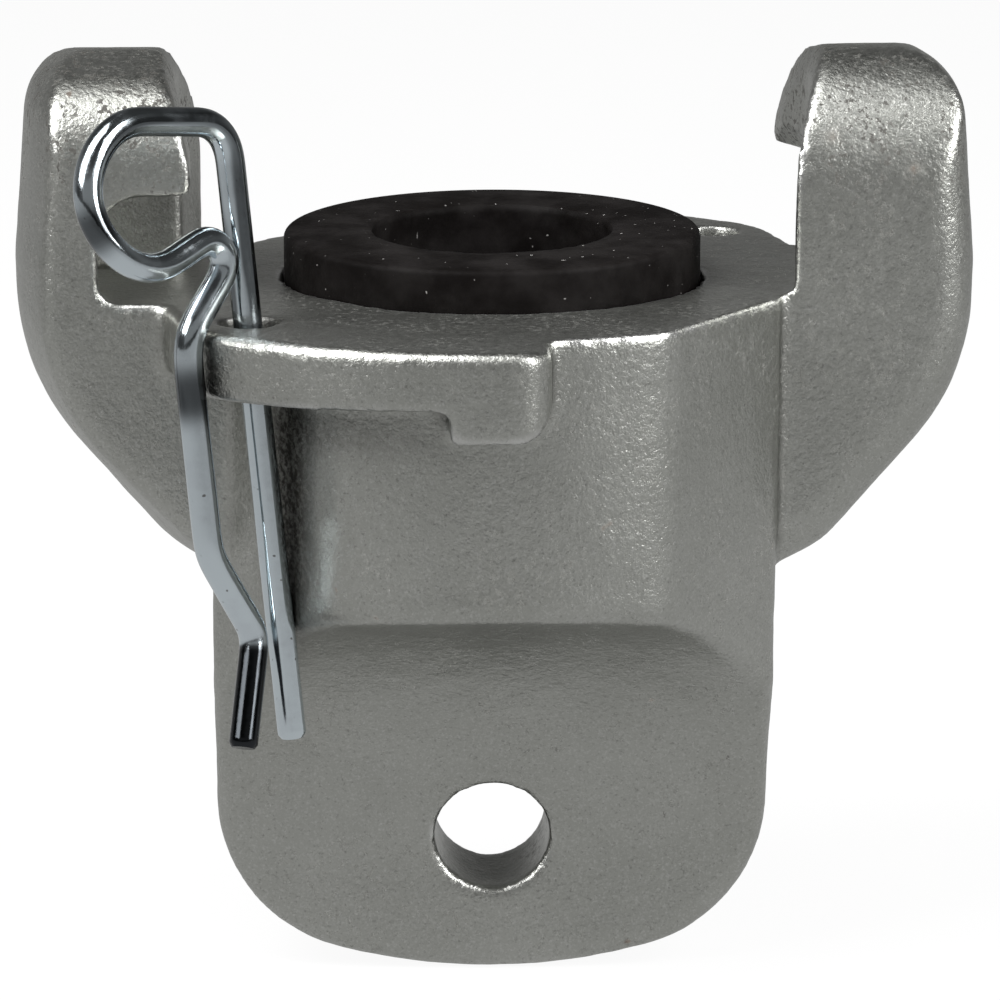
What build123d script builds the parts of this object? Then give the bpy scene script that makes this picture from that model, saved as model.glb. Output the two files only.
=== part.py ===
from build123d import *
from math import cos, radians, sin, tan
import os

# Claw hose coupling with a blank end, a face washer and a spring-wire safety clip.
# Millimetres. The origin is the centre of the coupling face, +Z points to the mating half,
# the claws stand at +X and -X and the flat tang hangs below. The casting is the same
# after half a turn about Z.

# Claws and their arms. The outer radius sets the size of the coupling: claws, grooves, ledges
# and core follow it through their walls and clearances.
claw_outer_r = 33.85
claw_top = 16.3
claw_draft_start = 2.0
claw_draft = 1.05
claw_top_round = 4.6
claw_back_shift = 1.7
claw_wall = 4.25
tooth_reach = 7.25
claw_lead_start = 6.0
claw_lead_round = 22.6
claw_closed_y = 8.3
claw_tooth_y = 11.8
claw_fall_start_y = 1.6
claw_fall = 1.8
claw_fall_round = 2.5
claw_dome_round = 9.2
claw_dome_tooth_round = 6.0
claw_closed_round = 3.0
claw_tooth_round = 1.2
arm_shoulder_depth = 6.3
arm_shoulder_round = 16.5
arm_knee_in = 10.15
arm_knee_depth = 18.2
arm_knee_round = 8.0
arm_root_in = 17.85
arm_root_depth = 22.3

# Groove under each tooth, for a ledge of the mating half
groove_r = claw_outer_r - claw_wall
groove_height = 7.5
groove_roof_round = 3.0
groove_floor_round = 1.4
groove_closed_wall = 5.5
tooth_nose_in = 1.9
tooth_nose_rise = 2.1
claw_inner_r = groove_r - tooth_reach

# Locking ledges with their stops
ledge_groove_gap = 0.4
ledge_r = groove_r - ledge_groove_gap
ledge_end_x = 3.4
ledge_stop_x = 3.4
ledge_thick = 3.95
ledge_cam_slope = 0.042
ledge_stop_depth = 6.2
ledge_stop_round = 2.4
ledge_end_round = 2.5
ledge_corner_round = 8.0
ledge_tip_out = 0.55
ledge_tip_upper_round = 1.5
ledge_tip_lower_round = 2.0
ledge_upper_round = 0.5
ledge_arm_in = 6.5
ledge_arm_y = 12.0
ledge_lean = 0.21
ledge_root_y = 9.0
clip_hole_r = 1.95
clip_hole_in = 4.7
clip_hole_angle = 46.4

# Core of the casting
ledge_overhang = 4.8
core_r = ledge_r - ledge_overhang
core_side_in = 4.6
core_side_half = core_r - core_side_in
core_corner_in = 2.6
core_corner_angle = 35.0
core_side_round = 2.0
core_corner_round = 6.0
claw_core_gap = 0.9
claw_inner_half = core_side_half + claw_core_gap

# Flat tang and the cove that leads down to it
tang_half_thick = 4.5
tang_bottom = 50.6
tang_corner_round = 11.6
tang_bottom_r = 42.0
tang_rim_round = 1.2
cove_r = 25.0
cove_centre_rise = 6.6
tether_hole_r = 4.12
tether_hole_rise = 10.3

# Washer seat in the face
seat_mouth_r = 14.9
seat_lip_depth = 2.0
seat_groove_r = 16.6
seat_depth = 5.0
blind_bore_r = 12.5
blind_bore_depth = 19.0

# Face washer
washer_stand = 3.4
washer_bore_r = 8.6
washer_clearance = 0.1
washer_edge_round = 0.35

# Safety clip of round spring wire, in the plane of its legs: "out" runs from the straight
# leg to the free one, heights and depths run along the straight leg from the face
clip_wire_r = 0.9
clip_lean_x = 0.098
clip_lean_y = 0.0329
clip_turn = 47.0
clip_leg_depth = 29.0
clip_bar_height = 13.6
clip_bar_rise = 9.2
clip_bar_round = 2.9
clip_loop_r = 4.8
clip_loop_out = 8.6
clip_return_fall = 15.5
clip_side_gap = 0.35
clip_crest_lead = 2.18
clip_crest_round = 1.6
clip_rim_gap = 0.35
clip_run_top = 0.2
clip_run_bottom = 14.8
clip_run_round = 4.0
clip_waist_out = 2.45
clip_waist_depth = 21.2
clip_waist_round = 1.6
clip_tip_out = 5.55
clip_tip_depth = 28.3

reach = 80.0
near = 0.01

os.makedirs("parts", exist_ok=True)

# One claw on its arm, on the +X side: closed wall towards -Y, open tooth side towards +Y
arm_root_r = claw_outer_r - arm_root_in
arm_knee_r = claw_outer_r - arm_knee_in
claw_top_outer_r = claw_outer_r - claw_draft
with BuildPart() as claw:
    claw_axis = Axis((0, -claw_back_shift, 0), (0, 0, 1))
    with BuildSketch(Plane.XZ.offset(claw_back_shift)) as claw_profile:
        with BuildLine():
            Polyline(
                (arm_root_r, -arm_root_depth),
                (arm_knee_r, -arm_knee_depth),
                (claw_outer_r, -arm_shoulder_depth),
                (claw_outer_r, claw_draft_start),
                (claw_top_outer_r, claw_top),
                (arm_root_r, claw_top),
                close=True,
            )
        make_face()
        knee = claw_profile.vertices().sort_by_distance((arm_knee_r, -arm_knee_depth))[0]
        fillet(knee, arm_knee_round)
        shoulder = claw_profile.vertices().sort_by_distance((claw_outer_r, -arm_shoulder_depth))[0]
        fillet(shoulder, arm_shoulder_round)
        crown = claw_profile.vertices().sort_by_distance((claw_top_outer_r, claw_top))[0]
        fillet(crown, claw_top_round)
    revolve(axis=claw_axis)
    # the claw is a slice of that turned shape, thickest at its closed side, its outer rim rounded
    claw_width = claw_closed_y + claw_tooth_y
    claw_mid_y = (claw_tooth_y - claw_closed_y) / 2
    with Locations((reach / 2, claw_mid_y, 0)):
        Box(reach, claw_width, reach, mode=Mode.INTERSECT)
    rims = claw.edges().filter_by(lambda e: (e @ 0.5).X > arm_root_r)
    rims = rims.filter_by_position(Axis.Y, -claw_closed_y - near, near - claw_closed_y)
    fillet(rims, claw_closed_round)
    rims = claw.edges().filter_by(lambda e: (e @ 0.5).X > arm_root_r)
    rims = rims.filter_by_position(Axis.Y, claw_tooth_y - near, claw_tooth_y + near)
    fillet(rims, claw_tooth_round)
    # seen from the side its top falls a little towards the tooth and is rounded at both ends
    with BuildSketch(Plane.YZ) as claw_dome:
        Polygon(
            (-claw_closed_y, -reach),
            (claw_tooth_y, -reach),
            (claw_tooth_y, claw_top - claw_fall),
            (claw_fall_start_y, claw_top),
            (-claw_closed_y, claw_top),
            align=None,
        )
        closed_corner = claw_dome.vertices().sort_by_distance((-claw_closed_y, claw_top))[0]
        fillet(closed_corner, claw_dome_round)
        fall_corner = claw_dome.vertices().sort_by_distance((claw_fall_start_y, claw_top))[0]
        fillet(fall_corner, claw_fall_round)
        tooth_corner = claw_dome.vertices().sort_by_distance((claw_tooth_y, claw_top - claw_fall))[0]
        fillet(tooth_corner, claw_dome_tooth_round)
    extrude(amount=reach, mode=Mode.INTERSECT)
    # inner face: turned about the axis of the coupling, its two ends flat and upright and curving
    # outwards towards the top to lead the mating half in
    with Locations((0, 0, reach / 2)):
        Cylinder(claw_inner_r, reach, mode=Mode.SUBTRACT)
    lead_top = claw_lead_start + claw_lead_round / 2
    lead_slant = claw_lead_round * cos(radians(30))
    lead_half_slant = claw_lead_round * cos(radians(15))
    lead_middle = claw_lead_start + claw_lead_round * sin(radians(15))
    with BuildSketch(Plane.XZ) as claw_throat:
        with BuildLine():
            ThreePointArc(
                (claw_inner_half, claw_lead_start),
                (claw_inner_half + claw_lead_round - lead_half_slant, lead_middle),
                (claw_inner_half + claw_lead_round - lead_slant, lead_top),
            )
            Polyline(
                (claw_inner_half + claw_lead_round - lead_slant, lead_top),
                (claw_inner_half + claw_lead_round - lead_slant, reach),
                (0, reach),
                (0, 0),
                (claw_inner_half, 0),
                (claw_inner_half, claw_lead_start),
            )
        make_face()
    extrude(amount=reach, both=True, mode=Mode.SUBTRACT)
    # groove for the mating ledge, closed by a wall on one side; its inner roof edge is the tooth nose
    with BuildPart(mode=Mode.PRIVATE) as groove:
        with BuildSketch(Plane.XZ) as groove_profile:
            Polygon(
                (arm_root_r, 0),
                (groove_r, 0),
                (groove_r, groove_height),
                (claw_inner_r + tooth_nose_in, groove_height),
                (claw_inner_r, groove_height + tooth_nose_rise),
                (arm_root_r, groove_height + tooth_nose_rise),
                align=None,
            )
            floor_corner = groove_profile.vertices().sort_by_distance((groove_r, 0))[0]
            fillet(floor_corner, groove_floor_round)
            roof_corner = groove_profile.vertices().sort_by_distance((groove_r, groove_height))[0]
            fillet(roof_corner, groove_roof_round)
        revolve(axis=Axis.Z)
        with Locations((0, groove_closed_wall - claw_closed_y, 0)):
            Box(reach, reach, reach, align=(Align.MIN, Align.MIN, Align.CENTER), mode=Mode.INTERSECT)
    add(groove.part, mode=Mode.SUBTRACT)

# One locking ledge with its stop, on the -Y side
ledge_arm_x = ledge_r - ledge_arm_in
with BuildPart() as ledge:
    with BuildSketch() as ledge_plan:
        Circle(ledge_r)
        ledge_far_y = -(ledge_r + ledge_root_y)
        Polygon(
            (-ledge_arm_x, -ledge_root_y),
            (-ledge_arm_x, -ledge_arm_y),
            (-ledge_arm_x - ledge_lean * (ledge_far_y + ledge_arm_y), ledge_far_y),
            (ledge_end_x, ledge_far_y),
            (ledge_end_x, -ledge_root_y),
            align=None,
            mode=Mode.INTERSECT,
        )
        fillet(ledge_plan.vertices().group_by(Axis.Y)[0], ledge_end_round)
        fillet(ledge_plan.vertices().sort_by_distance((-ledge_r, -ledge_r))[0], ledge_corner_round)
    extrude(amount=-ledge_stop_depth)
    with BuildSketch(Plane.XZ) as ledge_front:
        ledge_tip_x = ledge_arm_x + ledge_tip_out
        ledge_low = ledge_thick + ledge_cam_slope * (ledge_tip_x - ledge_stop_x)
        Polygon(
            (-ledge_tip_x, 0),
            (ledge_end_x, 0),
            (ledge_end_x, -ledge_stop_depth),
            (-ledge_stop_x, -ledge_stop_depth),
            (-ledge_stop_x, -ledge_thick),
            (-ledge_tip_x, -ledge_low),
            align=None,
        )
        stop_corner = ledge_front.vertices().sort_by_distance((ledge_end_x, -ledge_stop_depth))[0]
        fillet(stop_corner, ledge_stop_round)
        fillet(ledge_front.vertices().sort_by_distance((-ledge_tip_x, -ledge_low))[0], ledge_tip_lower_round)
        fillet(ledge_front.vertices().sort_by_distance((-ledge_tip_x, 0))[0], ledge_tip_upper_round)
    extrude(amount=reach, mode=Mode.INTERSECT)
    # the upper edge is worn round
    upper_rim = ledge.edges().group_by(Axis.Z)[-1].filter_by(lambda e: (e @ 0.5).Y < -ledge_arm_y)
    fillet(upper_rim, ledge_upper_round)

# The casting
core_corner_flat = core_r - core_corner_in
cove_centre_depth = tang_bottom - cove_centre_rise
clip_hole_x = (ledge_r - clip_hole_in) * cos(radians(clip_hole_angle))
clip_hole_y = (ledge_r - clip_hole_in) * sin(radians(clip_hole_angle))
with BuildPart() as body:
    # core: round front and back, flat sides, corners taken off
    with BuildSketch() as core_plan:
        Circle(core_r)
        Rectangle(2 * core_side_half, reach, mode=Mode.INTERSECT)
        Rectangle(2 * core_corner_flat, reach, rotation=core_corner_angle, mode=Mode.INTERSECT)
        Rectangle(2 * core_corner_flat, reach, rotation=-core_corner_angle, mode=Mode.INTERSECT)
        side_corners = core_plan.vertices().filter_by(lambda v: abs(v.X) > core_side_half - near)
        fillet(side_corners, core_side_round)
        front_x = core_side_half - core_side_round
        front_corners = core_plan.vertices().filter_by(lambda v: abs(v.X) < front_x)
        fillet(front_corners, core_corner_round)
    extrude(amount=-tang_bottom)
    # seen from the front it ends in a flat tang with a slightly bellied foot
    with BuildSketch(Plane.XZ) as tang_front:
        with BuildLine():
            belly = tang_bottom_r - (tang_bottom_r**2 - core_side_half**2) ** 0.5
            ThreePointArc(
                (-core_side_half, belly - tang_bottom),
                (0, -tang_bottom),
                (core_side_half, belly - tang_bottom),
            )
            Polyline(
                (core_side_half, belly - tang_bottom),
                (core_side_half, 0),
                (-core_side_half, 0),
                (-core_side_half, belly - tang_bottom),
            )
        make_face()
        fillet(tang_front.vertices().group_by(Axis.Y)[0], tang_corner_round)
    extrude(amount=reach, both=True, mode=Mode.INTERSECT)
    # coves on the front and the back lead from the core to the tang
    with BuildSketch(Plane.YZ) as cove_profile:
        for side in (-1, 1):
            with Locations((side * (tang_half_thick + cove_r), -cove_centre_depth)):
                Circle(cove_r)
            with Locations((side * (tang_half_thick + cove_r), -cove_centre_depth - reach / 2)):
                Rectangle(2 * cove_r, reach)
    extrude(amount=reach, both=True, mode=Mode.SUBTRACT)
    # the rim of the core and tang is rounded all the way round on both faces
    rim = body.edges().filter_by(
        lambda e: abs((e @ 0.5).Y) > tang_half_thick - near and (e @ 0.5).Z < cove_r - cove_centre_depth
    )
    rim -= rim.filter_by(lambda e: abs((e @ 0.5).X) < 1 and abs((e @ 0.5).Z + cove_centre_depth) < 1)
    fillet(rim, tang_rim_round)
    # claws and ledges, the second pair half a turn round
    for turn in (0, 180):
        add(claw.part.rotate(Axis.Z, turn))
        add(ledge.part.rotate(Axis.Z, turn))
    # stepped washer seat with an undercut, and the blind bore below it
    with BuildSketch(Plane.XZ) as seat_profile:
        Polygon(
            (0, reach),
            (seat_mouth_r, reach),
            (seat_mouth_r, -seat_lip_depth),
            (seat_groove_r, -seat_lip_depth),
            (seat_groove_r, -seat_depth),
            (blind_bore_r, -seat_depth),
            (blind_bore_r, -blind_bore_depth),
            (0, -blind_bore_depth),
            align=None,
        )
    revolve(axis=Axis.Z, mode=Mode.SUBTRACT)
    # clip holes through both ledges
    with Locations((-clip_hole_x, -clip_hole_y), (clip_hole_x, clip_hole_y)):
        Cylinder(clip_hole_r, reach, mode=Mode.SUBTRACT)
    # tether hole across the tang
    with Locations(Location((0, 0, tether_hole_rise - tang_bottom), (90, 0, 0))):
        Cylinder(tether_hole_r, reach, mode=Mode.SUBTRACT)
body.part.label = "coupling_body"
export_step(body.part, "parts/coupling_body.step")

# Face washer: a plain ring above the face, with a foot that snaps into the undercut
with BuildPart() as washer:
    with BuildSketch(Plane.XZ) as washer_profile:
        washer_r = seat_mouth_r - washer_clearance
        washer_foot_r = seat_groove_r - washer_clearance
        Polygon(
            (washer_bore_r, -seat_depth),
            (washer_foot_r, -seat_depth),
            (washer_foot_r, -seat_lip_depth - washer_clearance),
            (washer_r, -seat_lip_depth - washer_clearance),
            (washer_r, washer_stand),
            (washer_bore_r, washer_stand),
            align=None,
        )
        fillet(washer_profile.vertices().group_by(Axis.Y)[-1], washer_edge_round)
    revolve(axis=Axis.Z)
washer.part.label = "face_washer"
export_step(washer.part, "parts/face_washer.step")

# Safety clip: one length of wire in the plane of its two legs. The straight leg stands in
# the clip hole and leans a little, the top bar and loop stand over the ledge, and the free
# leg comes down close outside the ledge to a waist and a flared tip.
leg_up = Vector(-clip_lean_x, clip_lean_y, 1).normalized()
clip_out = Vector(-cos(radians(clip_turn)), -sin(radians(clip_turn)), 0)
clip_foot = Vector(-clip_hole_x, -clip_hole_y, 0)
clip_side = (clip_out - leg_up * clip_out.dot(leg_up)).normalized()
clip_plane = Plane(clip_foot, x_dir=clip_side, z_dir=clip_side.cross(leg_up))
# distance from the straight leg out to the rim of the ledge, which the free leg hugs
rim_run = -clip_foot.dot(clip_out)
rim_out = rim_run + (rim_run**2 + ledge_r**2 - clip_foot.length**2) ** 0.5
clip_run_out = rim_out + clip_wire_r + clip_rim_gap
bar_angle = radians(clip_bar_rise)
fall_angle = radians(clip_return_fall)
bar_end_out = clip_loop_out - clip_loop_r * sin(bar_angle)
bar_end_height = clip_bar_height + bar_end_out * tan(bar_angle)
loop_height = bar_end_height - clip_loop_r * cos(bar_angle)
return_out = clip_loop_out - clip_loop_r * sin(fall_angle)
return_height = loop_height - clip_loop_r * cos(fall_angle)
crest_out = 2 * clip_wire_r + clip_side_gap - clip_crest_lead
crest_height = return_height + (return_out - crest_out) * tan(fall_angle)
with BuildPart() as clip:
    with BuildLine(clip_plane) as clip_path:
        FilletPolyline(
            (0, -clip_leg_depth), (0, clip_bar_height), (bar_end_out, bar_end_height), radius=clip_bar_round
        )
        ThreePointArc(
            (bar_end_out, bar_end_height),
            (clip_loop_out + clip_loop_r, loop_height),
            (return_out, return_height),
        )
        FilletPolyline(
            (return_out, return_height),
            (crest_out, crest_height),
            (clip_run_out, clip_run_top),
            (clip_run_out, -clip_run_bottom),
            (clip_waist_out, -clip_waist_depth),
            (clip_tip_out, -clip_tip_depth),
            radius=(clip_crest_round, clip_run_round, clip_run_round, clip_waist_round),
        )
    wire = clip_path.wires()[0]
    with BuildSketch(Plane(wire @ 0, z_dir=wire % 0)):
        Circle(clip_wire_r)
    sweep(path=wire)
clip.part.label = "safety_clip"
export_step(clip.part, "parts/safety_clip.step")
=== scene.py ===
import math

import bmesh
import bpy
import numpy as np
from mathutils import Matrix, Vector, noise


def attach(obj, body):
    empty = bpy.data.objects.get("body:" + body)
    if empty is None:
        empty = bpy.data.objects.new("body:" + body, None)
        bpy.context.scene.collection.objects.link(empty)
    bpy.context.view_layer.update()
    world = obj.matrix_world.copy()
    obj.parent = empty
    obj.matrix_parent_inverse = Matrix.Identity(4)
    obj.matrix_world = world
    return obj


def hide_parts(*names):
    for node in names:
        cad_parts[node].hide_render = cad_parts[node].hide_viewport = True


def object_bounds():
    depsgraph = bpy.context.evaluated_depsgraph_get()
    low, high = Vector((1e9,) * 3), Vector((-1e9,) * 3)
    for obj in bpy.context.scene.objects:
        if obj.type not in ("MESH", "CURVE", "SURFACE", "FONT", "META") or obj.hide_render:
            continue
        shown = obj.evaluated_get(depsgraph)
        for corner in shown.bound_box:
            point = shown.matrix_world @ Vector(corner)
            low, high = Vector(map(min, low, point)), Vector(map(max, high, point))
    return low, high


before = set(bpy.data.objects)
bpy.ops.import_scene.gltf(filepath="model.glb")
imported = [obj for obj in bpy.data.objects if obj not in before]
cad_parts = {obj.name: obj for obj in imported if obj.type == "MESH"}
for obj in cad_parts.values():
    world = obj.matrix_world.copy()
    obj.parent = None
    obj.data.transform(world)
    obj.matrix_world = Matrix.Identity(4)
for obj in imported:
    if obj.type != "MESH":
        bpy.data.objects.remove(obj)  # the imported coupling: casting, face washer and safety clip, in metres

bl_info = {
    "name": "Claw hose coupling",
    "version": (1, 0, 0),
    "blender": (4, 5, 0),
    "location": "View3D > Sidebar > Coupling",
    "description": "Builds a claw hose coupling with its face washer and spring-wire safety clip",
    "category": "Object",
}

MM = 0.001
CAD_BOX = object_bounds()
FOOT_Z = CAD_BOX[0].z
MOSTLY_INWARDS = 0.55  # taken off a 0-to-1 noise, so that the skin sinks more than it rises
GRIME_AND_SHADE = (  # place and reach, in mm: dirt round the clip holes, then painted shadow and painted shade
    # dirt round the near and the far clip hole
    ((-16.9, -17.7, 0.0), (2.1, 2.1, 1.6)),
    ((16.9, 17.7, 0.0), (1.3, 1.3, 1.2)),
    # painted shadow beside the clip's straight leg, painted shade under the ledge, painted shade in the
    # groove beside the core
    ((-14.2, -17.0, -13.0), (1.5, 8.0, 9.5)),
    ((-8.0, -17.0, -7.0), (5.0, 5.0, 1.6)),
    ((-23.4, -2.0, 4.8), (3.5, 5.0, 3.0)),
)
RUST = (
    ((23.4, -10.0, 11.0), (0.45, 3.0, 0.45)),
    ((29.1, -10.0, 8.9), (0.35, 3.0, 0.35)),
)
DARK_REFLECTIONS = ((8.2, 1.3), (-3.9, 2.0))  # height and reach of the painted dark reflections on the clip, in mm
LAMPS = (  # name, place, size and the setting with its power, in metres and watts
    ("lamp_left", (-0.41, -0.25, 0.45), (0.44, 0.60), "left_watts"),
    ("lamp_right", (0.46, -0.28, 0.34), (0.28, 0.50), "right_watts"),
    ("lamp_top", (-0.20, -0.12, 0.56), (0.40, 0.50), "top_watts"),
    ("lamp_fill", (0.0, -0.80, 0.24), (1.30, 0.32), "fill_watts"),
)


# ---- node trees -------------------------------------------------------------------------


class Field:
    """An output socket of a node tree; arithmetic on it adds Math nodes to that tree."""

    def __init__(self, tree, socket):
        self.tree = tree
        self.socket = socket

    def maths(self, operation, *values):
        inputs = dict(enumerate(values))
        return self.tree.node("ShaderNodeMath", {"operation": operation}, inputs)

    def __add__(self, other):
        return self.maths("ADD", self, other)

    __radd__ = __add__

    def __mul__(self, other):
        return self.maths("MULTIPLY", self, other)

    __rmul__ = __mul__

    def __sub__(self, other):
        return self.maths("SUBTRACT", self, other)

    def __rsub__(self, other):
        return self.maths("SUBTRACT", other, self)

    def __rtruediv__(self, other):
        return self.maths("DIVIDE", other, self)

    def clamp(self):
        return self.tree.node(
            "ShaderNodeClamp", {}, {"Value": self, "Min": 0.0, "Max": 1.0}
        )

    def rise(self, start, end):
        """0 below start, 1 above end, a soft step between; start may be above end."""
        settings = {"interpolation_type": "SMOOTHSTEP"}
        inputs = {"Value": self, "From Min": start, "From Max": end}
        return self.tree.node("ShaderNodeMapRange", settings, inputs)


class Tree:
    """A node tree being written. node() is the one way that a node comes into it."""

    def __init__(self, holder):
        self.nodes = holder.nodes
        self.links = holder.links

    def node(self, kind, settings=None, inputs=None, output=0):
        made = self.nodes.new(kind)
        for name, value in (settings or {}).items():
            setattr(made, name, value)
        for name, value in (inputs or {}).items():
            if isinstance(value, Field):
                self.links.new(value.socket, made.inputs[name])
            else:
                made.inputs[name].default_value = value
        return Field(self, made.outputs[output]) if len(made.outputs) else None

    def blend(self, share, first, second):
        """A colour between two, by share."""
        settings = {"data_type": "RGBA", "clamp_factor": True}
        return self.node(
            "ShaderNodeMix", settings, {0: share, 6: first, 7: second}, output=2
        )

    def vector(self, operation, first, second, output=0):
        settings = {"operation": operation}
        return self.node("ShaderNodeVectorMath", settings, {0: first, 1: second}, output)


class Finish(Tree):
    """A material being written, with patterns that read the piece's own coordinates."""

    def __init__(self, name):
        self.material = bpy.data.materials.new(name)
        self.material.use_nodes = True
        self.material.node_tree.nodes.clear()
        super().__init__(self.material.node_tree)
        self.place = self.node("ShaderNodeTexCoord", output="Object")

    def cloud(self, size, detail=2.0, rough=0.5, seed=0.0, place=None):
        """Soft noise between 0 and 1, with lumps about size across."""
        settings = {"noise_dimensions": "4D"}
        inputs = {
            "Vector": place or self.place,
            "W": seed,
            "Scale": 1.0 / size,
            "Detail": detail,
            "Roughness": rough,
        }
        return self.node("ShaderNodeTexNoise", settings, inputs)

    def stored(self, name):
        """A value that was stored on the mesh's points."""
        return self.node("ShaderNodeAttribute", {"attribute_name": name}, output="Fac")

    def height_above(self, start, end):
        """0 below start and 1 above end, along the piece's own Z."""
        height = self.node("ShaderNodeSeparateXYZ", {}, {0: self.place}, output="Z")
        return height.rise(start, end)

    def relief(self, height):
        """A bump normal from a height in metres."""
        return self.node("ShaderNodeBump", {}, {"Height": height, "Distance": 1.0, "Strength": 1.0})

    def close(self, **inputs):
        """Ends the material in a Principled shader with these inputs."""
        named = {name.replace("_", " "): value for name, value in inputs.items()}
        shader = self.node("ShaderNodeBsdfPrincipled", {}, named)
        self.node("ShaderNodeOutputMaterial", {}, {"Surface": shader})
        return self.material


class Recipe(Tree):
    """A Geometry Nodes tree with named inputs that ends in one material."""

    def __init__(self, name, sizes):
        tree = bpy.data.node_groups.new(name, "GeometryNodeTree")
        super().__init__(tree)
        self.tree = tree
        self.sizes = sizes
        self.socket("Geometry", "NodeSocketGeometry")
        kinds = {float: "NodeSocketFloat", int: "NodeSocketInt"}
        for size, value in sizes.items():
            self.socket(size, kinds.get(type(value), "NodeSocketMaterial"))
        self.tree.interface.new_socket(
            "Geometry", in_out="OUTPUT", socket_type="NodeSocketGeometry"
        )
        self.start = self.nodes.new("NodeGroupInput")

    def socket(self, name, kind):
        self.tree.interface.new_socket(name, in_out="INPUT", socket_type=kind)

    def given(self, name):
        return Field(self, self.start.outputs[name])

    def close(self, geometry):
        """Realises instances, sets the material and joins the group's output."""
        real = self.node("GeometryNodeRealizeInstances", {}, {0: geometry})
        inputs = {"Geometry": real, "Material": self.given("Finish")}
        coated = self.node("GeometryNodeSetMaterial", {}, inputs)
        end = self.nodes.new("NodeGroupOutput")
        self.links.new(coated.socket, end.inputs[0])

    def apply_to(self, piece):
        """Puts the tree on a piece as a modifier, with its inputs set."""
        modifier = piece.modifiers.new(self.tree.name, "NODES")
        modifier.node_group = self.tree
        for item in self.tree.interface.items_tree:
            if item.in_out == "INPUT" and item.name in self.sizes:
                modifier[item.identifier] = self.sizes[item.name]


# ---- meshes -----------------------------------------------------------------------------


def new_piece(name, mesh):
    piece = bpy.data.objects.new(name, mesh)
    bpy.context.scene.collection.objects.link(piece)
    return piece


def settle(piece):
    """Turns a piece and its modifiers into one plain mesh."""
    graph = bpy.context.evaluated_depsgraph_get()
    mesh = bpy.data.meshes.new_from_object(piece.evaluated_get(graph))
    piece.modifiers.clear()
    piece.data = mesh
    return piece


def corners_of(mesh):
    """The vertices of a mesh as an array, and their normals as another."""
    spots = np.empty(len(mesh.vertices) * 3, np.float64)
    mesh.vertices.foreach_get("co", spots)
    normals = np.empty(len(mesh.vertices) * 3, np.float32)
    mesh.vertices.foreach_get("normal", normals)
    return spots.reshape(-1, 3), normals.reshape(-1, 3).astype(np.float64)


def keep_in_box(mesh):
    """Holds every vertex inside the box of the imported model."""
    spots, _ = corners_of(mesh)
    spots = np.clip(spots, np.array(CAD_BOX[0]), np.array(CAD_BOX[1]))
    mesh.vertices.foreach_set("co", spots.ravel())
    mesh.update()


def store(mesh, name, values):
    layer = mesh.attributes.new(name, "FLOAT", "POINT")
    layer.data.foreach_set("value", values.astype(np.float32))


def store_bends(mesh, reach, passes):
    """Stores where the surface bends outwards (worn edges) and inwards (hollows, which get painted shade)."""
    spots, normals = corners_of(mesh)
    ends = np.empty(len(mesh.edges) * 2, np.int32)
    mesh.edges.foreach_get("vertices", ends)
    a, b = ends.reshape(-1, 2).T
    run = spots[b] - spots[a]
    turn = ((normals[b] - normals[a]) * run).sum(1) / np.maximum((run * run).sum(1), 1e-14)
    count = np.bincount(a, minlength=len(spots)) + np.bincount(b, minlength=len(spots))
    bend = (np.bincount(a, turn, len(spots)) + np.bincount(b, turn, len(spots))) / count
    for _ in range(passes):
        near = np.bincount(a, bend[b], len(spots)) + np.bincount(b, bend[a], len(spots))
        bend = (bend + near / count) / 2
    store(mesh, "worn_edge", np.clip(bend * reach, 0, 1))
    store(mesh, "hollow", np.clip(-bend * reach, 0, 1))


def near_to(spots, place, reach):
    """1 at a place, falling softly to 0 round it; reach is its size along each axis."""
    away = (spots - np.array(place) * MM) / (np.array(reach) * MM)
    return np.exp(-(away * away).sum(1))


def store_marks(mesh):
    """Stores dirt round the clip holes, painted shade under the ledge and beside the core, a painted shadow
    beside the clip's leg, and two rust spots.
    """
    spots, _ = corners_of(mesh)
    grime = sum(near_to(spots, place, reach) for place, reach in GRIME_AND_SHADE)
    rust = sum(near_to(spots, place, reach) for place, reach in RUST)
    store(mesh, "grime", np.clip(grime * 1.3, 0, 1))
    store(mesh, "rust", np.clip(rust * 1.5, 0, 1))


# ---- finishes ---------------------------------------------------------------------------


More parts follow.
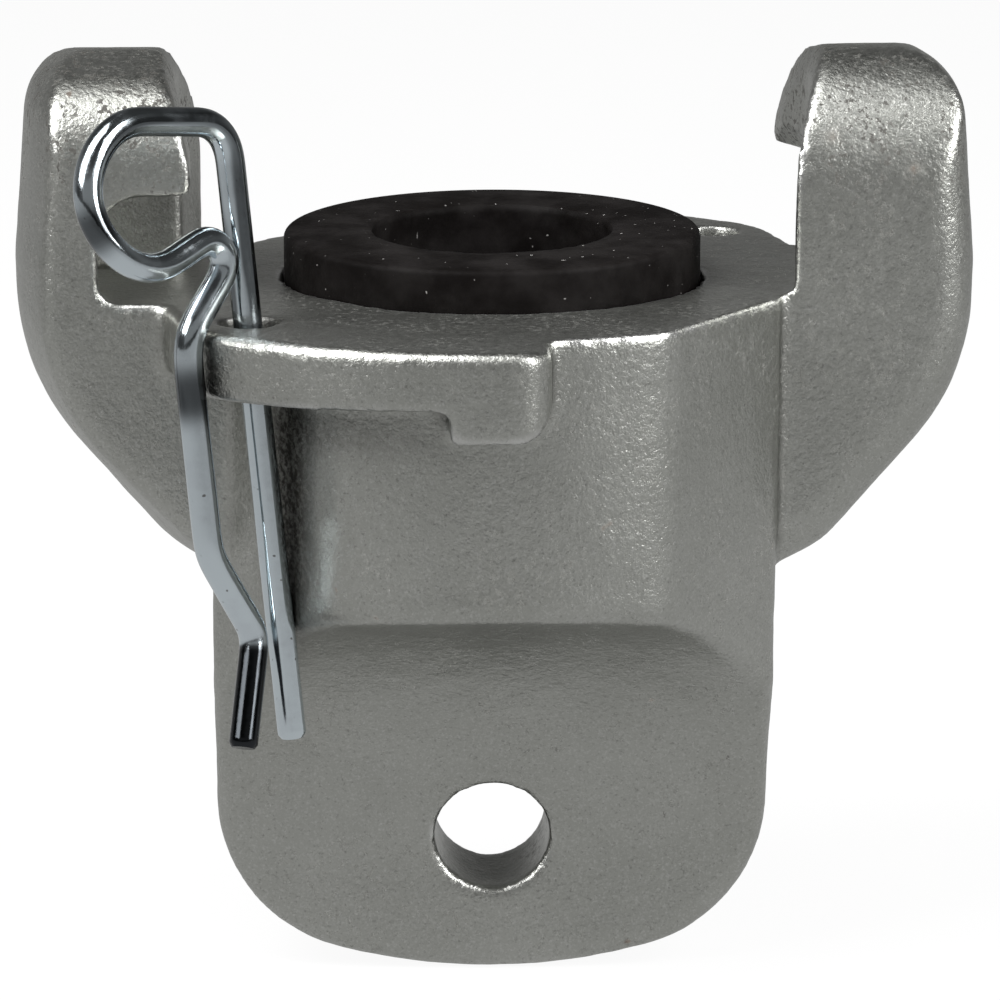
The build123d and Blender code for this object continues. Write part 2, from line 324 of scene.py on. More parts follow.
def cast_zinc(look):
    """Zinc-plated cast iron: orange-peel skin, dark pits, a few rust spots, bright edges, dirt, and painted
    shade in hollows and recesses.
    """
    f = Finish("cast_zinc")
    peel = f.cloud(look.peel_size, 2.0, 0.6, 1.0)
    grain = f.cloud(look.grain_size, 1.0, 0.6, 2.0)
    ripple = f.cloud(look.ripple_size, 2.0, 0.5, 3.0)
    blotch = f.cloud(look.blotch_size, 4.0, 0.6, 4.0)

    # pits come in patches, most of them high on the claws; some run together into dashes
    high = f.height_above(0.0, look.pitted_height)
    patch = (f.cloud(look.patch_size, 3.0, 0.6, 5.0) + high * 0.06).rise(0.46, 0.58)
    patch = patch * (0.35 + 0.65 * high)
    pits = f.cloud(look.pit_size, 3.0, 0.65, 6.0).rise(0.545, 0.59) * patch
    tall = f.vector("MULTIPLY", f.place, (1.0, 1.0, look.dash_squeeze))
    dashes = f.cloud(look.dash_size, 3.0, 0.7, 9.0, place=tall).rise(0.62, 0.66) * patch
    pits = (pits + dashes).clamp()
    specks = f.cloud(look.speck_size, 2.0, 0.7, 8.0).rise(0.56, 0.72)
    rust_spots = f.cloud(look.rust_size, 2.0, 0.5, 7.0).rise(0.74, 0.78)
    rust_spots = (rust_spots + f.stored("rust")).clamp()
    # dirt round the clip holes, and painted shade and shadow under the ledge, beside the core and beside the
    # clip's leg
    grime = f.stored("grime")
    edge = f.stored("worn_edge").rise(0.28, 0.8)
    hollow = f.stored("hollow").rise(0.12, 0.6)

    tone = f.blend((blotch - 0.3) * 1.6, look.shade_colour, look.colour)
    tone = f.blend((grain - 0.5).clamp() * 1.2, tone, look.light_colour)
    tone = f.blend(edge * (blotch.rise(0.35, 0.65) * 0.6 + 0.1), tone, look.light_colour)
    # painted shade: darker in the hollows of the casting
    tone = f.blend(hollow * 0.45, tone, look.pit_and_shade_colour)
    tone = f.blend(specks * 0.32, tone, look.pit_and_shade_colour)
    # paints that dirt, and the painted shade and shadow, in the dark pit colour
    tone = f.blend(grime * (0.55 + 0.45 * peel.rise(0.35, 0.6)), tone, look.pit_and_shade_colour)
    tone = f.blend(pits * 0.92, tone, look.pit_and_shade_colour)
    tone = f.blend(rust_spots * 0.7, tone, look.rust_colour)
    rough = look.roughness + (peel - 0.5) * 0.2 + (pits + grime) * 0.2 - edge * 0.04
    height = peel * look.peel_depth + grain * look.grain_depth + ripple * look.ripple_depth
    return f.close(
        Base_Color=tone,
        Metallic=1.0 - pits * 0.5 - rust_spots * 0.6,
        Roughness=rough.clamp(),
        Normal=f.relief(height),
    )


def black_rubber(look):
    """Moulded rubber: dull black, faint moulding swirls, pale lint and dust specks."""
    f = Finish("black_rubber")
    haze = f.cloud(look.haze_size, 4.0, 0.6, 1.0)
    skin = f.cloud(look.skin_size, 3.0, 0.6, 2.0)
    lint = f.cloud(look.lint_size, 0.0, 0.5, 3.0).rise(0.81, 0.86)
    tall = f.vector("MULTIPLY", f.place, (1.0, 1.0, look.fibre_squeeze))
    fibres = f.cloud(look.fibre_size, 0.0, 0.5, 4.0, place=tall).rise(0.86, 0.89)
    tone = f.blend(haze.rise(0.35, 0.7), look.colour, look.dust_colour)
    tone = f.blend((lint + fibres).clamp() * 0.8, tone, look.lint_colour)
    return f.close(
        Base_Color=tone,
        Roughness=(look.roughness + (skin - 0.5) * 0.3).clamp(),
        Specular_IOR_Level=look.shine,
        Normal=f.relief(skin * look.skin_depth + haze * look.haze_depth),
    )


def spring_wire(look):
    """Bright zinc-plated spring wire with drawing marks along it, and painted dark reflections on it."""
    f = Finish("spring_wire")
    around, along = f.stored("around"), f.stored("along")
    stripe = f.node("ShaderNodeCombineXYZ", {}, {"X": around, "Y": along * look.mark_stretch})
    draw_marks = f.cloud(look.mark_width, 3.0, 0.6, 1.0, place=stripe)
    dull = f.cloud(look.dull_size, 3.0, 0.6, 2.0).rise(0.45, 0.7)
    nicks = f.cloud(look.nick_size, 1.0, 0.5, 3.0).rise(0.72, 0.78)
    dents = f.cloud(look.dent_size, 2.0)
    tone = f.blend(dull * 0.5, look.colour, look.dull_colour)
    tone = f.blend(nicks * 0.8, tone, look.nick_colour)

    # painted dark reflections, thickest above the ledge
    band = f.node("ShaderNodeCombineXYZ", {}, {"X": around, "Y": along * look.reflection_stretch})
    reflection_streaks = f.cloud(look.reflection_width, 2.0, 0.5, 5.0, place=band).rise(0.50, 0.62)
    above = f.height_above(-look.reflection_foot, look.reflection_full)
    dark_reflections = (f.stored("dark") + reflection_streaks * above * 0.75).clamp()
    tone = f.blend(dark_reflections, tone, look.dark_reflection_colour)
    return f.close(
        Base_Color=tone,
        Metallic=1.0,
        Roughness=(look.roughness + dull * 0.12 + (draw_marks - 0.5) * 0.2).clamp(),
        Normal=f.relief(draw_marks * look.mark_depth + dents * look.dent_depth),
    )


def pale_floor(look):
    """Matt floor, near white to the camera with its shadow kept, and dimmer in reflections."""
    f = Finish("pale_floor")
    ray = f.node("ShaderNodeLightPath", output="Is Camera Ray")
    gloss = Field(f, ray.socket.node.outputs["Is Glossy Ray"])
    through = Field(f, ray.socket.node.outputs["Is Transmission Ray"])
    matt = f.node(
        "ShaderNodeBsdfPrincipled",
        {},
        {"Base Color": look.floor_colour, "Roughness": 0.9, "Specular IOR Level": 0.1},
    )
    away = f.vector("LENGTH", f.place, (0, 0, 0), output=1)
    fading = f.blend(away.rise(0.05, 0.45), (1, 1, 1, 1), (0.7, 0.7, 0.7, 1))
    dim = f.node("ShaderNodeEmission", {}, {"Color": fading, "Strength": look.floor_glow})
    white = f.node("ShaderNodeEmission", {}, {"Color": (1, 1, 1, 1), "Strength": 1.0})
    mixed = f.node("ShaderNodeMixShader", {}, {0: gloss, 1: matt, 2: dim})
    share = (ray + through).clamp() * look.floor_lift
    mixed = f.node("ShaderNodeMixShader", {}, {0: share, 1: mixed, 2: white})
    f.node("ShaderNodeOutputMaterial", {}, {"Surface": mixed})
    return f.material


def dim_room(look):
    """Plain surroundings, pale low down behind the object and dim elsewhere."""
    world = bpy.data.worlds.new("dim_room")
    world.use_nodes = True
    world.node_tree.nodes.clear()
    t = Tree(world.node_tree)
    way = t.node("ShaderNodeTexCoord", output="Generated")
    low = t.node("ShaderNodeSeparateXYZ", {}, {0: way}, output="Z").rise(0.6, 0.12)
    behind = t.node("ShaderNodeSeparateXYZ", {}, {0: way}, output="Y").rise(-0.2, 0.6)
    tone = t.blend(behind * low, look.high_colour, look.low_colour)
    background = t.node("ShaderNodeBackground", {}, {"Color": tone})
    t.node("ShaderNodeOutputWorld", {}, {"Surface": background})
    return world


# ---- recipes ----------------------------------------------------------------------------


def cast_skin(look, finish):
    """Uneven skin of a sand casting: long waves and short lumps along the normals."""
    sizes = {
        "Wave Size": look.wave_size,
        "Wave Depth": look.wave_depth,
        "Lump Size": look.lump_size,
        "Lump Depth": look.lump_depth,
        "Seed": look.seed,
        "Finish": finish,
    }
    r = Recipe("cast_skin", sizes)
    place = r.node("GeometryNodeInputPosition")
    settings = {"noise_dimensions": "4D"}
    shift = None
    for kind, offset in (("Wave", 0.0), ("Lump", 7.3)):
        inputs = {
            "Vector": place,
            "W": r.given("Seed") + offset,
            "Scale": 1.0 / r.given(f"{kind} Size"),
            "Detail": 2.0,
        }
        lump = r.node("ShaderNodeTexNoise", settings, inputs) - MOSTLY_INWARDS
        part = lump * r.given(f"{kind} Depth") * 2.0
        shift = part if shift is None else shift + part
    normal = r.node("GeometryNodeInputNormal")
    push = r.node(
        "ShaderNodeVectorMath", {"operation": "SCALE"}, {0: normal, "Scale": shift}
    )
    inputs = {0: r.given("Geometry"), "Offset": push}
    skin = r.node("GeometryNodeSetPosition", {}, inputs)
    r.close(skin)
    return r


def round_wire(look, finish):
    """A round wire along a line of points, with closed, slightly rounded ends."""
    sizes = {
        "Wire Radius": look.wire_radius,
        "Sides": look.sides,
        "Finish": finish,
    }
    r = Recipe("round_wire", sizes)
    line = r.node("GeometryNodeMeshToCurve", {}, {0: r.given("Geometry")})
    settings = {"data_type": "FLOAT"}
    girth = r.node("GeometryNodeInputNamedAttribute", settings, {"Name": "girth"})
    ring = r.node(
        "GeometryNodeCurvePrimitiveCircle",
        {"mode": "RADIUS"},
        {"Resolution": r.given("Sides"), "Radius": r.given("Wire Radius")},
    )
    length = r.node("GeometryNodeSplineParameter", output="Length")
    store_it = {"data_type": "FLOAT", "domain": "POINT"}
    line = r.node(
        "GeometryNodeStoreNamedAttribute", store_it, {0: line, "Name": "along", "Value": length}
    )
    turn = r.node("GeometryNodeSplineParameter", output="Factor")
    ring = r.node(
        "GeometryNodeStoreNamedAttribute", store_it, {0: ring, "Name": "around", "Value": turn}
    )
    inputs = {"Curve": line, "Profile Curve": ring, "Scale": girth, "Fill Caps": True}
    tube = r.node("GeometryNodeCurveToMesh", {}, inputs)
    r.close(tube)
    return r


# ---- the clip's line --------------------------------------------------------------------


def rounded(points, radii, step):
    """A flat line through points, its inner corners turned with the given radii."""
    line = [Vector(points[0])]
    for here, radius in zip(range(1, len(points) - 1), radii):
        corner = Vector(points[here])
        back = (Vector(points[here - 1]) - corner).normalized()
        on = (Vector(points[here + 1]) - corner).normalized()
        half = back.angle(on) / 2
        reach = radius / math.tan(half)
        centre = corner + (back + on).normalized() * (radius / math.sin(half))
        first, last = corner + back * reach, corner + on * reach
        line.append(first)
        sweep = math.pi - 2 * half
        turns = max(4, round(sweep * radius / step))
        arm = first - centre
        side = 1 if arm.x * (last - centre).y - arm.y * (last - centre).x > 0 else -1
        for k in range(1, turns):
            angle = side * sweep * k / turns
            line.append(centre + Matrix.Rotation(angle, 2) @ arm)
        line.append(last)
    line.append(Vector(points[-1]))
    return line


def evenly(points, step):
    """The same line with points step apart."""
    spots = np.array([tuple(p) for p in points])
    runs = np.linalg.norm(np.diff(spots, axis=0), axis=1)
    way = np.concatenate([[0.0], np.cumsum(runs)])
    marks = np.linspace(0.0, way[-1], max(2, round(way[-1] / step)) + 1)
    return np.stack([np.interp(marks, way, spots[:, k]) for k in range(spots.shape[1])], 1), marks


def eased(line, passes):
    """Lets the bends run softly into the straights, as springy wire does."""
    for _ in range(passes):
        line[1:-1] = (line[:-2] + 2 * line[1:-1] + line[2:]) / 4
    return line


def clip_line(clip):
    """The clip's centre line in space, from the foot of its straight leg to its free tip."""
    up = Vector((-clip.lean_left, clip.lean_back, 1)).normalized()
    turn = clip.turn
    out = Vector((-math.cos(turn), -math.sin(turn), 0))
    to_hole = Vector((-math.cos(clip.hole_angle), -math.sin(clip.hole_angle), 0))
    foot = to_hole * clip.hole_distance + out * clip.foot_out
    side = (out - up * out.dot(up)).normalized()
    near = side.cross(up)
    near = near if near.y < 0 else -near
    rise, fall = clip.bar_rise, clip.return_fall
    bar_end = Vector((clip.loop_out - clip.loop_radius * math.sin(rise), 0))
    bar_end.y = clip.bar_height + bar_end.x * math.tan(rise)
    eye = Vector((clip.loop_out, bar_end.y - clip.loop_radius * math.cos(rise)))
    come_back = eye + clip.loop_radius * Vector((-math.sin(fall), -math.cos(fall)))
    crest = Vector((clip.crest_corner_out, 0))
    crest.y = come_back.y + (come_back.x - crest.x) * math.tan(fall)
    step = clip.step
    flat = rounded([(0, -clip.leg_depth), (0, clip.bar_height), bar_end], [clip.bar_round], step)
    start = math.atan2(bar_end.y - eye.y, bar_end.x - eye.x)
    end = math.atan2(come_back.y - eye.y, come_back.x - eye.x)
    turns = round((start - end) % (2 * math.pi) * clip.loop_radius / step)
    sweep = (start - end) % (2 * math.pi)
    for k in range(1, turns):
        angle = start - sweep * k / turns
        flat.append(eye + clip.loop_radius * Vector((math.cos(angle), math.sin(angle))))
    flat += rounded(
        [
            come_back,
            crest,
            (clip.run_out, clip.run_top),
            (clip.run_out, -clip.run_bottom),
            (clip.waist_out, -clip.waist_depth),
            (clip.tip_out, -clip.tip_depth),
        ],
        [clip.crest_round, clip.run_round, clip.run_round, clip.waist_round],
        step,
    )
    line, way = evenly(flat, step)
    line = eased(line, clip.ease)
    on_free_leg = way > clip.leg_depth + clip.bar_height + clip.loop_out
    swing = np.exp(-(((line[:, 1] - clip.cross_height) / clip.cross_reach) ** 2)) * on_free_leg
    flare = np.clip((-line[:, 1] - clip.waist_depth) / (clip.tip_depth - clip.waist_depth), 0, 1)
    toward = swing * clip.cross_by + flare * on_free_leg * clip.flare_by
    spots = [foot + side * p[0] + up * p[1] + near * t for p, t in zip(line, toward)]
    return spots, way


def dark_places(clip, spots, way):
    """How much the wire is painted dark: a painted dark reflection on its free end, and painted dark
    reflections at given heights.
    """
    to_tip = way[-1] - way
    dark = np.clip((clip.dark_tip - to_tip) / clip.step + 0.5, 0, 1) * 0.97
    heights = np.array([p.z for p in spots])
    past_bar = way > clip.leg_depth + clip.bar_height + clip.loop_out
    for height, reach in DARK_REFLECTIONS:
        dark += 0.85 * np.exp(-(((heights - height * MM) / (reach * MM)) ** 4)) * past_bar
    return np.clip(dark, 0, 1)


# ---- the washer's ring ------------------------------------------------------------------


def washer_outline(look):
    """Radius and height of the ring's outline, from its foot up, over and down the bore."""
    outer, inner, top, foot = look.radius, look.bore_radius, look.stand, -look.foot_depth
    rounding = look.edge_round
    shoulder, brow = outer - rounding, top - rounding
    outline = []
    for k in range(look.side_rows + 1):
        outline.append((outer, foot + (brow - foot) * k / look.side_rows))
    for k in range(1, look.round_rows + 1):
        a = math.pi / 2 * k / look.round_rows
        outline.append((shoulder + rounding * math.cos(a), brow + rounding * math.sin(a)))
    for k in range(1, look.top_rows + 1):
        part = k / look.top_rows
        crown = look.crown * math.sin(math.pi * part)
        outline.append((shoulder - (shoulder - inner) * part, top + crown))
    for k in range(1, look.top_rows + 1):
        outline.append((inner, top + (foot - top) * k / look.top_rows))
    return outline


def washer_spot(look, radius, height, angle):
    """A point of the ring, nicked near the bore's upper edge and tilted above the face."""
    spot = Vector((radius * math.cos(angle), radius * math.sin(angle), height))
    nick = noise.noise(spot * (1 / look.nick_size)) + 0.5 * noise.noise(spot * (1 / look.nib_size))
    if height > look.stand - look.nick_fall:
        at_bore = max(0.0, 1 - (radius - look.bore_radius) / look.nick_reach)
        inwards = spot.xy.normalized().to_3d()
        spot -= inwards * at_bore * max(0.0, nick - 0.15) * look.ragged * 1.5
        spot.z -= at_bore * abs(nick) * look.ragged * 0.7
    above = max(0.0, height) / look.stand
    spot.z += above * (look.tilt_back * spot.y + look.tilt_right * spot.x)
    return spot


# ---- settings ---------------------------------------------------------------------------


def length(name, description, default):
    return bpy.props.FloatProperty(
        name=name,
        description=description,
        default=default,
        unit="LENGTH",
        subtype="DISTANCE",
        precision=5,
    )


def turned(name, description, degrees):
    return bpy.props.FloatProperty(
        name=name,
        description=description,
        default=math.radians(degrees),
        unit="ROTATION",
        subtype="ANGLE",
    )


def shade(name, description, red, green, blue):
    return bpy.props.FloatVectorProperty(
        name=name,
        description=description,
        size=4,
        subtype="COLOR",
        min=0,
        max=1,
        default=(red, green, blue, 1),
    )


def number(name, description, default):
    return bpy.props.FloatProperty(name=name, description=description, default=default)


def count(name, description, default):
    return bpy.props.IntProperty(name=name, description=description, default=default, min=0)


class CastingLook(bpy.types.PropertyGroup):
    """Sizes and colours of the casting's surface."""

    grid: length("Grid", "Spacing of the surface's faces", 0.43 * MM)
    softening: count("Softening", "Passes that round the edges", 3)
    wave_size: length("Wave size", "Width of the long waves of the skin", 8.0 * MM)
    wave_depth: length("Wave depth", "Depth of the long waves", 0.12 * MM)
    lump_size: length("Lump size", "Width of the short lumps of the skin", 1.7 * MM)
    lump_depth: length("Lump depth", "Depth of the short lumps", 0.045 * MM)
    peel_size: length("Peel size", "Width of the orange-peel lumps", 0.38 * MM)
    peel_depth: length("Peel depth", "Depth of the orange-peel lumps", 0.072 * MM)
    grain_size: length("Grain size", "Width of the finest grain", 0.17 * MM)
    grain_depth: length("Grain depth", "Depth of the finest grain", 0.014 * MM)
    ripple_size: length("Ripple size", "Width of the soft ripples", 2.6 * MM)
    ripple_depth: length("Ripple depth", "Depth of the soft ripples", 0.07 * MM)
    blotch_size: length("Blotch size", "Width of the duller patches", 11.0 * MM)
    patch_size: length("Patch size", "Width of the pitted patches", 4.2 * MM)
    pitted_height: length("Pitted height", "Where the pits are thickest", 12.0 * MM)
    pit_size: length("Pit size", "Width of the pits", 0.50 * MM)
    dash_size: length("Dash size", "Width of the dashes", 0.7 * MM)
    dash_squeeze: number("Dash squeeze", "Width of a dash over its height", 0.3)
    speck_size: length("Speck size", "Width of the dark specks", 0.24 * MM)
    rust_size: length("Rust size", "Width of the scattered rust spots", 2.1 * MM)
    edge_reach: length("Edge reach", "Radius of an edge that counts as sharp", 0.9 * MM)
    edge_passes: count("Edge passes", "Passes that spread the worn edges", 1)
    seed: number("Seed", "Chooses the pattern of the skin", 3.0)
    roughness: number("Roughness", "Gloss of the plated skin", 0.37)
    colour: shade("Zinc", "Colour of the plated skin", 0.425, 0.43, 0.405)
    shade_colour: shade("Dull zinc", "Colour of its duller patches", 0.35, 0.355, 0.33)
    light_colour: shade("Worn zinc", "Colour of worn edges and bright grains", 0.66, 0.66, 0.65)
    # colour of pits and specks, and also of the painted shade in hollows, under the ledge and beside the core
    pit_and_shade_colour: shade("Pits", "Colour of pits and of dirt in hollows", 0.045, 0.042, 0.037)
    rust_colour: shade("Rust", "Colour of the rust spots", 0.055, 0.026, 0.010)


class WasherLook(bpy.types.PropertyGroup):
    """Sizes and colours of the face washer."""

    radius: length("Radius", "Outer radius above the face", 14.8 * MM)
    bore_radius: length("Bore radius", "Radius of the bore", 8.6 * MM)
    stand: length("Stand", "Height above the coupling face", 3.3 * MM)
    foot_depth: length("Foot depth", "Depth of its foot in the seat", 5.0 * MM)
    edge_round: length("Edge round", "Rounding of the outer top edge", 0.5 * MM)
    crown: length("Crown", "Rise of the top face between its edges", 0.10 * MM)
    tilt_back: number("Tilt back", "Rise of the washer towards the back", 0.0255)
    tilt_right: number("Tilt right", "Rise of the washer towards the right", 0.006)
    ragged: length("Ragged edge", "Depth of the nicks in the bore edge", 0.16 * MM)
    sides: count("Sides", "Faces round the ring", 240)
    side_rows: count("Side rows", "Rows of faces up the outside", 12)
    round_rows: count("Round rows", "Rows of faces over the outer top edge", 6)
    top_rows: count("Top rows", "Rows of faces across the top and down the bore", 16)
    nick_size: length("Nick size", "Width of the large nicks", 1.3 * MM)
    nib_size: length("Nib size", "Width of the small nicks", 0.5 * MM)
    nick_reach: length("Nick reach", "How far the nicks reach across the top", 1.2 * MM)
    nick_fall: length("Nick fall", "How far the nicks reach down the bore", 1.5 * MM)
    haze_size: length("Haze size", "Width of the dusty swirls", 3.5 * MM)
    haze_depth: length("Haze depth", "Depth of the swirls", 0.05 * MM)
    skin_size: length("Skin size", "Width of the moulded grain", 0.5 * MM)
    skin_depth: length("Skin depth", "Depth of the moulded grain", 0.03 * MM)
    lint_size: length("Lint size", "Spacing of the dust specks", 0.33 * MM)
    fibre_size: length("Fibre size", "Spacing of the fibres", 0.35 * MM)
    fibre_squeeze: number("Fibre squeeze", "Width of a fibre over its length", 0.22)
    shine: number("Shine", "Strength of the rubber's reflection", 0.05)
    roughness: number("Roughness", "Gloss of the rubber", 0.6)
    colour: shade("Rubber", "Colour of the rubber", 0.0034, 0.0027, 0.0025)
    dust_colour: shade("Dusty rubber", "Colour where it is dusty", 0.011, 0.0098, 0.0095)
    lint_colour: shade("Lint", "Colour of lint and dust specks", 0.35, 0.34, 0.33)


class ClipLook(bpy.types.PropertyGroup):
    """Sizes and colours of the safety clip."""

    wire_radius: length("Wire radius", "Radius of the spring wire", 0.99 * MM)
    sides: count("Sides", "Faces round the wire", 28)
    step: length("Step", "Spacing of the rings along the wire", 0.3 * MM)
    ease: count("Ease", "Passes that ease the bends", 5)
    lean_left: number("Lean left", "Lean of the straight leg to the left", 0.098)
    lean_back: number("Lean back", "Lean of the straight leg to the back", 0.0329)
    turn: turned("Turn", "Turn of the clip about its straight leg", 47.0)
    hole_distance: length("Hole distance", "Distance of the clip hole from the axis", 24.5 * MM)
    hole_angle: turned("Hole angle", "Angle of the clip hole", 46.4)
    foot_out: length("Foot out", "Offset of the straight leg in its hole", 0.0 * MM)
    leg_depth: length("Leg depth", "Straight leg below the face", 29.0 * MM)
    bar_height: length("Bar height", "Height of the top bar at the straight leg", 13.6 * MM)
    bar_rise: turned("Bar rise", "Slope of the top bar", 9.2)
    bar_round: length("Bar round", "Bend from the straight leg to the bar", 2.9 * MM)
    loop_radius: length("Loop radius", "Radius of the loop", 4.8 * MM)
    loop_out: length("Loop out", "Loop centre from the straight leg", 8.6 * MM)
    return_fall: turned("Return fall", "Slope of the return to the crest", 15.5)
    crest_corner_out: length("Crest corner", "Corner of the crest bend", -0.45 * MM)
    crest_round: length("Crest round", "Radius of the crest bend", 1.6 * MM)
    run_out: length("Run out", "Free leg from the straight leg, beside the ledge", 5.95 * MM)
    run_top: length("Run top", "Where the free leg starts to run down", 0.2 * MM)
    run_bottom: length("Run bottom", "Where the free leg turns in", 14.8 * MM)
    run_round: length("Run round", "Bends of the free leg", 4.0 * MM)
    waist_out: length("Waist out", "Narrowest place of the legs", 2.45 * MM)
    waist_depth: length("Waist depth", "Depth of the narrowest place", 21.2 * MM)
    waist_round: length("Waist round", "Bend of the waist", 1.6 * MM)
    tip_out: length("Tip out", "Free tip from the straight leg", 5.55 * MM)
    tip_depth: length("Tip depth", "Depth of the free tip", 28.3 * MM)
    cross_by: length("Cross by", "How far the crest stands in front of the leg", 1.1 * MM)
    cross_height: length("Cross height", "Height where it stands out most", 5.0 * MM)
    cross_reach: length("Cross reach", "Reach of that swing", 4.0 * MM)
    flare_by: length("Flare by", "How far the free tip stands out to the front", 0.8 * MM)
    # the free end gets a painted dark reflection
    dark_tip: length("Dark tip", "Length of the darkened free end", 7.0 * MM)
    end_girth: number("End girth", "Width of the wire at its two ends", 0.80)
    mark_width: number("Mark width", "Width of the drawing marks, in turns", 0.045)
    mark_stretch: number("Mark stretch", "Turns of pattern per metre along a drawing mark", 0.06)
    mark_depth: length("Mark depth", "Depth of the drawing marks", 0.010 * MM)
    dull_size: length("Dull size", "Width of the dulled patches", 2.4 * MM)
    nick_size: length("Nick size", "Width of the nicks", 0.5 * MM)
    dent_size: length("Dent size", "Width of the faint dents", 1.1 * MM)
    dent_depth: length("Dent depth", "Depth of the faint dents", 0.012 * MM)
    # painted dark reflections along the wire
    reflection_width: number("Smear width", "Width of the smears, in turns", 0.28)
    reflection_stretch: number("Smear stretch", "Turns of pattern per metre along a smear", 12.0)
    reflection_foot: length("Smear foot", "Depth below the face where the smears start", 7.0 * MM)
    reflection_full: length("Smear full", "Height above the face where they are thickest", 1.0 * MM)
    roughness: number("Roughness", "Gloss of the plating", 0.11)
    colour: shade("Plating", "Colour of the bright plating", 0.60, 0.665, 0.70)
    dull_colour: shade("Dull plating", "Colour of its dulled patches", 0.56, 0.61, 0.65)
    nick_colour: shade("Nicks", "Colour of nicks in the plating", 0.10, 0.09, 0.08)
    # colour of the painted dark reflections on the free end and along the wire
    dark_reflection_colour: shade("Darkened", "Colour of the darkened end and smears", 0.012, 0.013, 0.015)


class StageLook(bpy.types.PropertyGroup):
    """Floor, lamps and camera."""

    floor_size: length("Floor size", "Half width of the floor", 3.0)
    floor_colour: shade("Floor", "Colour of the floor", 0.86, 0.86, 0.86)
    floor_lift: number("Floor lift", "Share of plain white that the camera sees in the floor", 0.93)
    floor_glow: number("Floor glow", "Brightness of the floor that reflections see", 0.56)
    low_colour: shade("Backdrop", "Colour of the surroundings low down behind", 0.22, 0.22, 0.22)
    high_colour: shade("Room", "Colour of the surroundings elsewhere", 0.04, 0.04, 0.04)
    left_watts: number("Left lamp", "Power of the left lamp", 6.8)
    right_watts: number("Right lamp", "Power of the right lamp", 5.8)
    top_watts: number("Top lamp", "Power of the lamp overhead", 1.8)
    fill_watts: number("Fill lamp", "Power of the low lamp behind the camera", 0.25)
    camera_place: bpy.props.FloatVectorProperty(
        name="Camera",
        description="Place of the camera",
        default=(-0.007618, -0.334240, 0.061920),
        unit="LENGTH",
    )
    camera_turn: bpy.props.FloatVectorProperty(
        name="Camera turn",
        description="Direction of the camera",
        default=tuple(math.radians(a) for a in (76.7906, -0.1654, -1.3725)),
        unit="ROTATION",
        subtype="EULER",
    )
    lens: bpy.props.FloatProperty(
        name="Lens", description="Focal length on a 36 mm sensor, in millimetres", default=171.708
    )


# ---- operators --------------------------------------------------------------------------


class COUPLING_OT_stage(bpy.types.Operator):
    """Make the floor, the soft lamps and the camera"""

    bl_idname = "coupling.stage"
    bl_label = "Stage"

    def execute(self, context):
        look = context.scene.coupling_stage
        bm = bmesh.new()
        bmesh.ops.create_grid(bm, x_segments=2, y_segments=2, size=look.floor_size)
        bmesh.ops.translate(bm, verts=bm.verts, vec=(0, 0, FOOT_Z))
        mesh = bpy.data.meshes.new("floor")
        bm.to_mesh(mesh)
        bm.free()
        mesh.materials.append(pale_floor(look))
        new_piece("floor", mesh)
        context.scene.world = dim_room(look)
        for name, place, size, watts in LAMPS:
            light = bpy.data.lights.new(name, "AREA")
            light.shape = "RECTANGLE"
            light.size, light.size_y = size
            light.energy = getattr(look, watts)
            lamp = new_piece(name, light)
            lamp.location = place
            lamp.rotation_euler = (-Vector(place)).to_track_quat("-Z", "Y").to_euler()
        lens = bpy.data.cameras.new("camera")
        lens.lens = look.lens
        lens.sensor_width = 36.0
        lens.clip_start = 0.01
        camera = new_piece("camera", lens)
        camera.location = look.camera_place
        camera.rotation_euler = look.camera_turn
        context.scene.camera = camera
        context.scene.view_settings.view_transform = "Standard"
        return {"FINISHED"}


class COUPLING_OT_casting(bpy.types.Operator):
    """Make the casting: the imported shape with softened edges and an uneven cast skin"""

    bl_idname = "coupling.casting"
    bl_label = "Casting"

    def execute(self, context):
        look = context.scene.coupling_casting
        bm = bmesh.new()
        bm.from_mesh(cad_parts["coupling_body"].data)
        bmesh.ops.remove_doubles(bm, verts=bm.verts, dist=0.001 * MM)
        mesh = bpy.data.meshes.new("casting")
        bm.to_mesh(mesh)
        bm.free()
        casting = new_piece("casting", mesh)
        grid = casting.modifiers.new("grid", "REMESH")
        grid.mode = "VOXEL"
        grid.voxel_size = look.grid
        soft = casting.modifiers.new("soft", "SMOOTH")
        soft.iterations = look.softening
        cast_skin(look, cast_zinc(look)).apply_to(casting)
        settle(casting)
        keep_in_box(casting.data)
        casting.data.shade_smooth()
        store_bends(casting.data, look.edge_reach, look.edge_passes)
        store_marks(casting.data)
        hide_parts("coupling_body")
        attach(casting, "coupling")
        return {"FINISHED"}


class COUPLING_OT_washer(bpy.types.Operator):
    """Make the face washer: a rubber ring with a crowned top and a nicked bore edge"""

    bl_idname = "coupling.washer"
    bl_label = "Face washer"

    def execute(self, context):
        look = context.scene.coupling_washer
        outline = washer_outline(look)
        bm = bmesh.new()
        rows = []
        for k in range(look.sides):
            angle = 2 * math.pi * k / look.sides
            spots = [washer_spot(look, radius, height, angle) for radius, height in outline]
            rows.append([bm.verts.new(spot) for spot in spots])
        for here, there in zip(rows, rows[1:] + rows[:1]):
            for i in range(len(outline)):
                j = (i + 1) % len(outline)
                bm.faces.new((here[i], there[i], there[j], here[j]))
        bmesh.ops.recalc_face_normals(bm, faces=bm.faces)
        mesh = bpy.data.meshes.new("washer_ring")
        bm.to_mesh(mesh)
        bm.free()
        mesh.shade_smooth()
        washer = new_piece("washer_ring", mesh)
        mesh.materials.append(black_rubber(look))
        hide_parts("face_washer")
        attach(washer, "coupling")
        return {"FINISHED"}


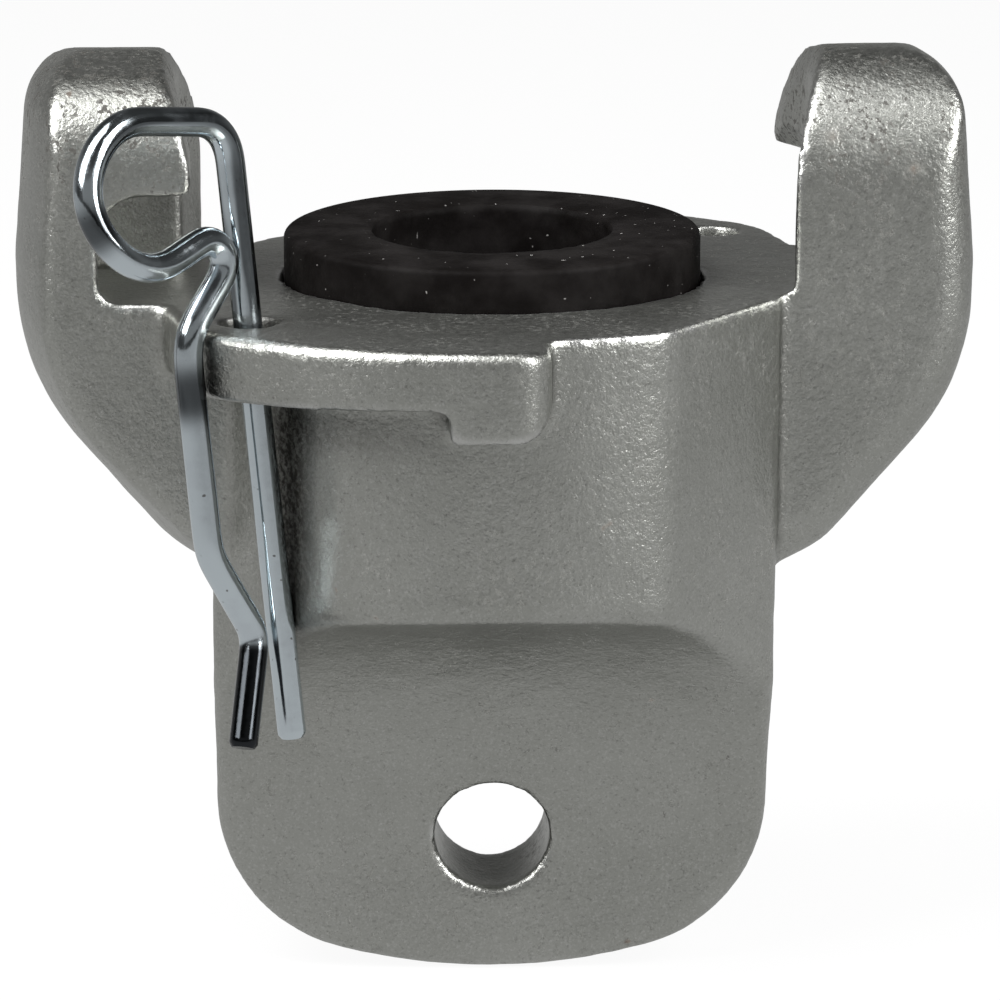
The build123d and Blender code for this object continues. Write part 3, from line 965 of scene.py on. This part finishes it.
class COUPLING_OT_clip(bpy.types.Operator):
    """Make the safety clip: one length of spring wire, looped over the ledge"""

    bl_idname = "coupling.clip"
    bl_label = "Safety clip"

    def execute(self, context):
        look = context.scene.coupling_clip
        spots, way = clip_line(look)
        mesh = bpy.data.meshes.new("clip_wire")
        steps = [(k, k + 1) for k in range(len(spots) - 1)]
        mesh.from_pydata([tuple(p) for p in spots], steps, [])
        girth = np.ones(len(spots))
        girth[[0, -1]] = look.end_girth
        store(mesh, "girth", girth)
        store(mesh, "dark", dark_places(look, spots, way))
        wire = new_piece("clip_wire", mesh)
        round_wire(look, spring_wire(look)).apply_to(wire)
        settle(wire)
        keep_in_box(wire.data)
        wire.data.shade_smooth()
        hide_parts("safety_clip")
        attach(wire, "clip")
        return {"FINISHED"}


class COUPLING_PT_sidebar(bpy.types.Panel):
    """Lists the pieces of the coupling and their settings"""

    bl_idname = "COUPLING_PT_sidebar"
    bl_label = "Claw hose coupling"
    bl_space_type = "VIEW_3D"
    bl_region_type = "UI"
    bl_category = "Coupling"

    def draw(self, context):
        for name, operator in PIECES:
            box = self.layout.box()
            box.operator(operator)
            look = getattr(context.scene, name)
            for key in look.__annotations__:
                box.prop(look, key)


PIECES = (
    ("coupling_stage", "coupling.stage"),
    ("coupling_casting", "coupling.casting"),
    ("coupling_washer", "coupling.washer"),
    ("coupling_clip", "coupling.clip"),
)
LOOKS = {
    "coupling_stage": StageLook,
    "coupling_casting": CastingLook,
    "coupling_washer": WasherLook,
    "coupling_clip": ClipLook,
}
CLASSES = (
    *LOOKS.values(),
    COUPLING_OT_stage,
    COUPLING_OT_casting,
    COUPLING_OT_washer,
    COUPLING_OT_clip,
    COUPLING_PT_sidebar,
)


def register():
    for kind in CLASSES:
        bpy.utils.register_class(kind)
    for name, look in LOOKS.items():
        setattr(bpy.types.Scene, name, bpy.props.PointerProperty(type=look))


def unregister():
    for name in LOOKS:
        delattr(bpy.types.Scene, name)
    for kind in reversed(CLASSES):
        bpy.utils.unregister_class(kind)


def main():
    register()
    bpy.ops.coupling.stage()
    bpy.ops.coupling.casting()
    bpy.ops.coupling.washer()
    bpy.ops.coupling.clip()
    bpy.context.view_layer.update()


if __name__ == "__main__":
    main()
